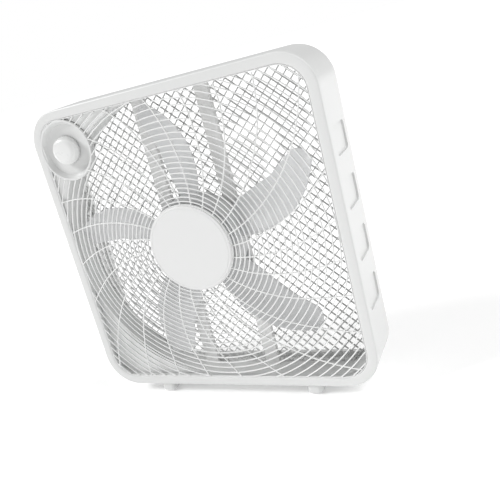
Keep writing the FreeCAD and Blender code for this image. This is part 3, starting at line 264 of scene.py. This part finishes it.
def finished(bm, name, body, material, replaced, sharp=32):
    """Turn a bmesh into a piece that rides on a body and stands for CAD nodes."""
    bmesh.ops.remove_doubles(bm, verts=bm.verts, dist=WELD)
    bmesh.ops.recalc_face_normals(bm, faces=bm.faces)
    mesh = bpy.data.meshes.new(name)
    bm.to_mesh(mesh)
    bm.free()
    for face in mesh.polygons:
        face.use_smooth = True
    mesh.set_sharp_from_angle(angle=math.radians(sharp))
    mesh.materials.append(material)
    obj = bpy.data.objects.new(name, mesh)
    bpy.context.scene.collection.objects.link(obj)
    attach(obj, body)
    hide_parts(*replaced)


def add_to(target, part):
    """Move a small bmesh into a larger one."""
    scratch = bpy.data.meshes.new("scratch")
    part.to_mesh(scratch)
    part.free()
    target.from_mesh(scratch)
    bpy.data.meshes.remove(scratch)


class Rail:
    """A section's edge loop, carried along a path by extruding and turning it, in a bmesh of its own."""

    def __init__(self, points, closed=True):
        self.bm = bmesh.new()
        verts = [self.bm.verts.new(p) for p in points]
        pairs = list(zip(verts, verts[1:] + verts[:1] if closed else verts[1:]))
        self.loop = [self.bm.edges.new(pair) for pair in pairs]

    def into(self, target):
        """Add the finished strip to a larger bmesh."""
        add_to(target, self.bm)

    def cap(self):
        bmesh.ops.contextual_create(self.bm, geom=self.loop)
        return self

    def verts(self):
        return list({v for edge in self.loop for v in edge.verts})

    def go(self, step, turn=0.0, about=None):
        """Extrude by a vector, then turn the new section about the Y line through a point."""
        made = bmesh.ops.extrude_edge_only(self.bm, edges=self.loop)["geom"]
        self.loop = [g for g in made if isinstance(g, bmesh.types.BMEdge)
                     and all(v in made for v in g.verts)]
        moved = self.verts()
        bmesh.ops.translate(self.bm, vec=step, verts=moved)
        if turn:
            bmesh.ops.rotate(self.bm, cent=about, matrix=Matrix.Rotation(turn, 3, UP_Y), verts=moved)
        return self

    def turn(self, centre, angle, steps, merge=False):
        """Spin the section about the Y line through a point."""
        made = bmesh.ops.spin(self.bm, geom=self.loop, cent=centre, axis=UP_Y, angle=angle,
                              steps=steps, use_merge=merge)
        self.loop = [g for g in made["geom_last"] if isinstance(g, bmesh.types.BMEdge)]
        return self


def arc_points(centre, radius, start, end, steps):
    """Points of an arc in a section's own plane, angles in degrees."""
    made = []
    for i in range(steps + 1):
        a = math.radians(start + (end - start) * i / steps)
        made.append((centre[0] + radius * math.cos(a), centre[1] + radius * math.sin(a)))
    return made


def rounded_section(width, deep, radius, steps=2):
    """A rounded rectangle about its own middle: across and depth."""
    made = []
    for sx, sy, start in ((1, 1, 0), (-1, 1, 90), (-1, -1, 180), (1, -1, 270)):
        centre = (sx * (width / 2 - radius), sy * (deep / 2 - radius))
        made += arc_points(centre, radius, start, start + 90, steps)
    return made


def turned(bm, profile, centre, steps=96):
    """Spin a profile of (radius, y) points about the Y line through a centre."""
    points = [Vector((centre.x + r, y, centre.z)) for r, y in profile]
    middle_line = Vector((centre.x, 0, centre.z))
    Rail(points, closed=False).turn(middle_line, FULL_TURN, steps, merge=True).into(bm)


def framed(bm, section, half_w, half_h, corner, steps=14):
    """Carry a section of (inset, y) points round a rounded rectangle about the fan axis."""
    points = [Vector((half_w - inset, y, AXIS)) for inset, y in section]
    rail = Rail(points)
    straight_z = half_h - corner
    straight_x = half_w - corner
    rail.go(Vector((0, 0, straight_z)))
    route = [((straight_x, straight_z), Vector((-2 * straight_x, 0, 0))),
             ((-straight_x, straight_z), Vector((0, 0, -2 * straight_z))),
             ((-straight_x, -straight_z), Vector((2 * straight_x, 0, 0))),
             ((straight_x, -straight_z), Vector((0, 0, straight_z)))]
    for (x, z), run in route:
        rail.turn(Vector((x, 0, AXIS + z)), -QUARTER, steps)
        rail.go(run)
    rail.into(bm)


def in_opening(x, z, inset):
    """True inside the opening, less an inset, and clear of the knob's dish."""
    dx = max(abs(x) - (OPEN_W - OPEN_CORNER), 0)
    dz = max(abs(z - AXIS) - (OPEN_H - OPEN_CORNER), 0)
    clear = math.hypot(x - DIAL.x, z - DIAL.z) > DISH - DISH_OVERLAP
    return clear and math.hypot(dx, dz) <= OPEN_CORNER - inset


def on_ring(radius, turn):
    """A point of a circle about the fan axis, in plan."""
    return radius * math.cos(turn), AXIS + radius * math.sin(turn)


def spans(radius, inset):
    """The stretches of a ring that lie in the opening, as pairs of angles."""
    step = FULL_TURN / RING_SPOTS
    inside = [in_opening(*on_ring(radius, step * i), inset) for i in range(RING_SPOTS)]
    if all(inside):
        return [(0, FULL_TURN)]
    starts = [i for i in range(RING_SPOTS) if inside[i] and not inside[i - 1]]
    made = []
    for start in starts:
        end = start
        while inside[(end + 1) % RING_SPOTS]:
            end += 1
        if end > start + SHORTEST:
            made.append((step * start, step * end))
    return made


# ---------------------------------------------------------------- front frame with the knob's dish


def bezel_section():
    """The bezel's section: a U open at the rear, with rounded front edges, as (inset, y) points."""
    wall = 3 * MM
    outer = 3 * MM
    inner = 2.5 * MM
    rear = FRONT + BEZEL_DEPTH
    inner_rear = rear - 2 * MM
    room_front = FRONT + outer + wall
    section = [(0, rear)]
    section += [(inset, FRONT + deep) for inset, deep in arc_points((outer, outer), outer, 180, 270, 7)]
    section += [(inset, FRONT + deep)
                for inset, deep in arc_points((BORDER - inner, inner), inner, 270, 360, 4)]
    section += [(BORDER, inner_rear), (BORDER - wall, inner_rear), (BORDER - wall, room_front)]
    section += [(wall, room_front), (wall, rear)]
    return section


def dish_profile():
    """The knob's dish: a flat floor, a sloping wall and a rim that stands a little proud."""
    lip = 4 * MM
    floor = 45 * MM
    bore = 4.6 * MM
    floor_front = FRONT + 9.5 * MM
    floor_rear = FRONT + 12 * MM
    proud = 0.6 * MM
    soft = 1.2 * MM
    wall_top = DISH - lip
    profile = [(bore, floor_front), (floor - 2 * MM, floor_front), (floor, floor_front - 0.6 * MM)]
    profile += [(wall_top - 0.6 * MM, FRONT + 1.2 * MM), (wall_top + 0.4 * MM, FRONT - proud * 0.4)]
    profile += [(DISH - soft + x, FRONT - proud + soft + y)
                for x, y in arc_points((0, 0), soft, 270, 360, 4)]
    profile += [(DISH, floor_rear), (bore, floor_rear), (bore, floor_front)]
    return profile


def make_front_frame():
    """Bezel with rounded edges, and the knob's dish in its upper corner."""
    bm = bmesh.new()
    framed(bm, bezel_section(), HALF_W, HALF_H, CORNER)
    turned(bm, dish_profile(), DIAL, steps=112)
    finished(bm, "bezel", "housing", WHITE, ["front_frame"])


# ---------------------------------------------------------------- front grille

BAR_WIDTH = 1.8 * MM
BAR_DEEP = 3.4 * MM
BAR = rounded_section(BAR_WIDTH, BAR_DEEP, 0.7 * MM)
FIRST_PITCH = 7 * MM
PITCH_GROWTH = 0.22 * MM  # what each ring's pitch gains on the one before
WIDEST_PITCH = 10.8 * MM
DOME_SLOPE = 0.2  # share of the dome's fall that is straight; the rest grows with the square
RIBS = 24
FIRST_RIB = 12  # degrees
RIB_SWEEP = 125  # degrees per metre of radius
RIB_STEP = 8 * MM
RIB_END = 0.5 * MM  # what a rib's end may miss the bezel by
RIB_PROUD = 0.15 * MM
AHEAD = 1 * MM  # how far along a rib its heading is taken


def dome_depth(radius):
    """Y of the grille's front face at a radius: flat on the hub, domed, then flat again."""
    seat = HUB + 2 * MM
    share = min(max((radius - seat) / (DOME - seat), 0), 1)
    return FRONT - RISE * (1 - DOME_SLOPE * share - (1 - DOME_SLOPE) * share * share)


def ring_radii():
    """Ring radii, close together near the hub and wider outside."""
    radii = [HUB]
    while radii[-1] < math.hypot(OPEN_W, OPEN_H):
        pitch = FIRST_PITCH + PITCH_GROWTH * (len(radii) - 1)
        radii.append(radii[-1] + min(pitch, WIDEST_PITCH))
    return radii[1:]


def add_ring(bm, radius):
    """The stretches of one ring that show in the opening."""
    y = dome_depth(radius) + BAR_DEEP / 2
    steps_per_radian = 26
    for start, end in spans(radius, 1.2 * MM):
        across = Vector((math.cos(start), 0, math.sin(start)))
        points = [HUB_CENTRE + across * (radius + a) + Vector((0, y + b, 0)) for a, b in BAR]
        whole = end - start >= FULL_TURN
        steps = max(3, int((end - start) * steps_per_radian))
        Rail(points).turn(HUB_CENTRE, start - end, steps, merge=whole).into(bm)


def add_rib(bm, rib):
    """One swept rib, from under the hub seat out to the bezel or the dish."""

    def spot(radius):
        turn = math.radians(FIRST_RIB + 360 / RIBS * rib + RIB_SWEEP * (radius - HUB))
        x, z = on_ring(radius, turn)
        return Vector((x, dome_depth(radius) + BAR_DEEP / 2 - RIB_PROUD, z))

    def heading_at(radius):
        ahead = spot(radius + AHEAD) - spot(radius)
        return math.atan2(ahead.z, ahead.x)

    def shows(radius):
        return in_opening(spot(radius).x, spot(radius).z, RIB_END)

    radius = HUB - 3 * MM
    heading = heading_at(radius)
    side = Vector((-math.sin(heading), 0, math.cos(heading)))
    rail = Rail([spot(radius) + side * a + Vector((0, b, 0)) for a, b in BAR]).cap()
    step = RIB_STEP
    while step >= RIB_END and shows(radius + step):
        there = spot(radius + step)
        next_heading = heading_at(radius + step)
        rail.go(there - spot(radius), heading - next_heading, there)
        heading = next_heading
        radius += step
        if not shows(radius + step):
            step /= 2
    rail.cap().into(bm)


def make_front_grille():
    """Domed guard: rings and swept ribs between the hub seat and a thin rim."""
    bm = bmesh.new()
    for radius in ring_radii():
        add_ring(bm, radius)
    for rib in range(RIBS):
        add_rib(bm, rib)
    rim_width = 1.4 * MM
    rim = rounded_section(rim_width, BAR_DEEP, 0.5 * MM)
    rim_middle = FRONT + BAR_DEEP / 2 + 0.6 * MM
    framed(bm, [(rim_width / 2 + a, rim_middle + b) for a, b in rim], OPEN_W, OPEN_H, OPEN_CORNER)
    seat = FRONT - RISE
    edge = HUB + 2.2 * MM
    turned(bm, [(0, seat), (edge - 0.6 * MM, seat), (edge, seat + 0.8 * MM),
                (edge, seat + BAR_DEEP), (0, seat + BAR_DEEP)], HUB_CENTRE)
    finished(bm, "ring_grille", "housing", GUARD, ["front_grille"])


def make_hub_badge():
    """Blank badge with a soft edge, a fine groove near it and a slight crown."""
    bm = bmesh.new()
    face = badge_low.y
    back = badge_high.y
    crown = 0.54 * MM
    rim = face + 0.63 * MM
    groove = rim + 0.35 * MM
    edge = 1.4 * MM
    steps = 8
    profile = [((HUB - 5 * MM) * i / steps, face + crown * (i / steps) ** 2) for i in range(steps + 1)]
    profile += [(HUB - 4.6 * MM, groove), (HUB - 4.0 * MM, groove), (HUB - 3.6 * MM, rim)]
    profile += [(HUB - edge + x, rim + edge + y) for x, y in arc_points((0, 0), edge, 270, 360, 5)]
    profile += [(HUB, back), (0, back)]
    turned(bm, profile, HUB_CENTRE, steps=128)
    finished(bm, "badge", "housing", BADGE, ["hub_badge"])


# ---------------------------------------------------------------- rear lattice


def make_rear_lattice():
    """Diamond guard: rounded diagonal bars that end at the rear opening's outline."""
    bm = bmesh.new()
    half_w = (lattice_high.x - lattice_low.x) / 2
    half_h = (lattice_high.z - lattice_low.z) / 2
    deep = lattice_high.y - lattice_low.y
    y = (lattice_low.y + lattice_high.y) / 2
    pitch = 13 * MM
    bar = rounded_section(1.7 * MM, deep, 0.6 * MM, 1)
    hole = 58 * MM
    large_corner = 235 * MM
    fine = 1 * MM
    fewest = 4

    def inside(spot):
        corner = large_corner if spot.x < 0 else CORNER
        dx = max(abs(spot.x) - (half_w - corner), 0)
        dz = max(abs(spot.z) - (half_h - corner), 0)
        return math.hypot(dx, dz) <= corner and math.hypot(spot.x, spot.z) > hole

    count = int(math.hypot(half_w, half_h) / pitch)
    reach = int(math.hypot(half_w, half_h) / fine)
    for lean in (1, -1):
        along = Vector((math.sqrt(0.5), 0, lean * math.sqrt(0.5)))
        across = Vector((-along.z, 0, along.x))
        for i in range(-count, count + 1):
            offset = across * i * pitch
            run = [k * fine for k in range(-reach, reach + 1) if inside(along * k * fine + offset)]
            if len(run) < fewest:
                continue
            breaks = [k for k in range(1, len(run)) if run[k] - run[k - 1] > 2 * fine]
            for part in [run[a:b] for a, b in zip([0] + breaks, breaks + [len(run)])]:
                start = HUB_CENTRE + along * part[0] + offset + Vector((0, y, 0))
                points = [start + across * a + Vector((0, b, 0)) for a, b in bar]
                length = part[-1] - part[0] + fine / 2
                Rail(points).cap().go(along * length).cap().into(bm)
    finished(bm, "diamond_guard", "housing", REAR_PAINTED_SHADE, ["rear_lattice"], sharp=50)


# ---------------------------------------------------------------- impeller


BLADES = 5
CUP = 80 * MM
CUP_FRONT = FRONT + 4 * MM
BLADE_ROOT = 78.6 * MM
BLADE_TIP = 244 * MM
BLADE_FRONT = FRONT + 14 * MM
TRAVEL = 29 * MM  # depth from a blade's leading edge to its trailing edge at the root
CAMBER = 6.3 * MM
SWEEP_START = 88 * MM  # radius at which the edges start to sweep
SWEEP_SPAN = 157 * MM
TIP_START = 222 * MM  # radius at which the tip's corner starts to round off
TIP_SPAN = 22 * MM


def blade_spot(share, chord):
    """Radius, turn and depth of a point on a blade: share runs root to tip, chord across it."""
    r = BLADE_ROOT + (BLADE_TIP - BLADE_ROOT) * share
    beyond = max(r - SWEEP_START, 0) / SWEEP_SPAN
    tip_share = max(r - TIP_START, 0) / TIP_SPAN
    trail = 0.8 + 24.8 * beyond ** 1.8
    lead = 36 - 4.7 * min(beyond * 2, 1) + 5 * max(beyond - 0.5, 0) - 5 * tip_share ** 2
    turn = math.radians(trail + (lead - trail) * chord)
    flat = 0.32 * share ** 1.5
    y = BLADE_FRONT + TRAVEL * (flat + (1 - 2 * flat) * chord)
    y += CAMBER * math.sin(math.pi * chord) * (1 - 0.55 * share)
    return r, turn, y


def blade_sheet(blade):
    """One blade as a thick sheet with soft edges, in a bmesh of its own."""
    sheet = bmesh.new()
    bmesh.ops.create_grid(sheet, x_segments=36, y_segments=16, size=0.5)
    for v in sheet.verts:
        share = 1 - (0.5 - v.co.x) ** 1.25
        r, turn, y = blade_spot(share, v.co.y + 0.5)
        turn += FULL_TURN * blade / BLADES
        v.co = Vector((r * math.cos(turn), y, AXIS + r * math.sin(turn)))
    bmesh.ops.recalc_face_normals(sheet, faces=sheet.faces)
    bmesh.ops.solidify(sheet, geom=sheet.faces, thickness=1.9 * MM)
    rim = [e for e in sheet.edges if len(e.link_faces) == 2 and e.calc_face_angle(0) > 1.0]
    bmesh.ops.bevel(sheet, geom=rim, offset=0.6 * MM, segments=2, affect="EDGES", profile=0.5,
                    material=-1)
    return sheet


def cup_profile():
    """The cup hub: a soft front corner, a ring near its middle and a bored boss behind it."""
    wall = 2.5 * MM
    soft = 5 * MM
    bore = 4 * MM
    boss = 11 * MM
    ring = CUP_FRONT + 0.8 * MM
    room_front = CUP_FRONT + wall
    boss_rear = CUP_FRONT + 20 * MM
    chamfer = 0.6 * MM
    profile = [(bore, CUP_FRONT), (20 * MM, CUP_FRONT), (22 * MM, ring), (26 * MM, ring),
               (28 * MM, CUP_FRONT)]
    profile += [(CUP - soft + x, CUP_FRONT + soft + y)
                for x, y in arc_points((0, 0), soft, 270, 360, 7)]
    profile += [(CUP, impeller_rear - chamfer), (CUP - chamfer, impeller_rear),
                (CUP - wall, impeller_rear), (CUP - wall, CUP_FRONT + soft), (CUP - soft, room_front)]
    profile += [(boss, room_front), (boss, boss_rear), (bore, boss_rear), (bore, CUP_FRONT)]
    return profile


def make_impeller():
    """Cup hub and five swept, cambered blades."""
    bm = bmesh.new()
    for blade in range(BLADES):
        add_to(bm, blade_sheet(blade))
    turned(bm, cup_profile(), HUB_CENTRE, steps=120)
    finished(bm, "fan_blades", "blade_set", GREY_BLADE_PAINTED_LIGHT, ["impeller"], sharp=40)


# ---------------------------------------------------------------- knob


def knob_profile(radius):
    """The knob's section: a nearly flat face, a round shoulder and a slightly tapered side."""
    front = knob_low.y
    rear = knob_high.y
    tall = rear - front
    shoulder = 8.5 * MM
    flat = radius * 0.55
    crown = 0.5 * MM
    socket = 10 * MM
    socket_front = rear - 6 * MM
    chamfer = 0.8 * MM
    flat_steps = 4
    profile = [(flat * i / flat_steps, front + crown * (i / flat_steps) ** 2)
               for i in range(flat_steps + 1)]
    round_steps = 8
    for i in range(1, round_steps + 1):
        a = QUARTER * i / round_steps
        profile.append((flat + radius * 0.41 * math.sin(a), front + crown + shoulder * (1 - math.cos(a))))
    profile += [(radius * 0.985, front + tall * 0.62), (radius, rear - chamfer), (radius - chamfer, rear)]
    profile += [(socket, rear), (socket, socket_front), (0, socket_front)]
    return profile


def make_knob():
    """Domed knob with fine grip flutes round its side."""
    bm = bmesh.new()
    radius = (knob_high.x - knob_low.x) / 2
    flutes = 54
    flute_deep = 0.55 * MM
    fluted_from = 0.86
    fade_span = 0.08
    turned(bm, knob_profile(radius), DIAL, steps=4 * flutes)
    for v in bm.verts:
        offset = v.co - Vector((DIAL.x, v.co.y, DIAL.z))
        share = offset.length / radius
        if share > fluted_from:
            dip = 0.5 + 0.5 * math.cos(flutes * math.atan2(offset.z, offset.x))
            fade = min(1, (share - fluted_from) / fade_span)
            v.co -= offset.normalized() * flute_deep * dip * fade
    finished(bm, "speed_knob_cap", "speed_knob", KNOB, ["control_knob"], sharp=50)


make_front_frame()
make_front_grille()
make_hub_badge()
make_rear_lattice()
make_impeller()
make_knob()

# ---------------------------------------------------------------- floor, light and camera


SOFTBOX = 0.4
BACKDROP = 1.0


def make_floor():
    """A wide, plain, pale floor."""
    bm = bmesh.new()
    bmesh.ops.create_grid(bm, x_segments=1, y_segments=1, size=30)
    mesh = bpy.data.meshes.new("floor")
    bm.to_mesh(mesh)
    bm.free()
    floor = bpy.data.objects.new("floor", mesh)
    bpy.context.scene.collection.objects.link(floor)
    paint = Paint("floor_pale")
    tone = paint.noise(3, 2)
    pale = paint.mix(tone, (0.93, 0.93, 0.93), (0.95, 0.95, 0.95))
    floor.data.materials.append(paint.set(Base_Color=pale, Roughness=0.8, Emission_Color=(1, 1, 1, 1),
                                          Emission_Strength=0.2))


def soft_sun(name, aim, strength, spread):
    """A distant soft light that shines along a direction; the spread is in degrees."""
    light = bpy.data.lights.new(name, "SUN")
    light.energy = strength
    light.angle = math.radians(spread)
    lamp = bpy.data.objects.new(name, light)
    lamp.rotation_euler = Vector(aim).to_track_quat("-Z", "Y").to_euler()
    bpy.context.scene.collection.objects.link(lamp)


def make_studio():
    """Plain white to the camera, with an even soft light from all round and two soft suns."""
    world = bpy.data.worlds.new("studio")
    bpy.context.scene.world = world
    world.use_nodes = True
    tree = world.node_tree
    background = tree.nodes["Background"]
    background.inputs["Strength"].default_value = SOFTBOX
    sweep = tree.nodes.new("ShaderNodeBackground")
    sweep.inputs["Strength"].default_value = BACKDROP
    for shade in (background, sweep):
        shade.inputs["Color"].default_value = (1, 1, 1, 1)
    seen = tree.nodes.new("ShaderNodeLightPath")
    mixed = tree.nodes.new("ShaderNodeMixShader")
    tree.links.new(seen.outputs["Is Camera Ray"], mixed.inputs[0])
    tree.links.new(background.outputs[0], mixed.inputs[1])
    tree.links.new(sweep.outputs[0], mixed.inputs[2])
    tree.links.new(mixed.outputs[0], tree.nodes["World Output"].inputs["Surface"])
    soft_sun("key", (0.7, 0.4, -0.6), 2.0, 18)
    soft_sun("side", (-0.66, -0.12, -0.72), 1.7, 40)
    bpy.context.scene.view_settings.view_transform = "Standard"


def make_camera():
    """Camera at the right, a little above, rolled as the fan leans in its rack."""
    data = bpy.data.cameras.new("camera")
    data.sensor_width = 36
    data.lens = 45.98
    data.shift_x = 0.12
    data.shift_y = -0.04
    data.clip_start = 0.01
    camera = bpy.data.objects.new("camera", data)
    camera.location = (0.5277, FRONT - 0.8704, AXIS + 0.3044)
    camera.rotation_euler = [math.radians(a) for a in (74.163, 15.514, 26.859)]
    bpy.context.scene.collection.objects.link(camera)
    bpy.context.scene.camera = camera


make_floor()
make_studio()
make_camera()
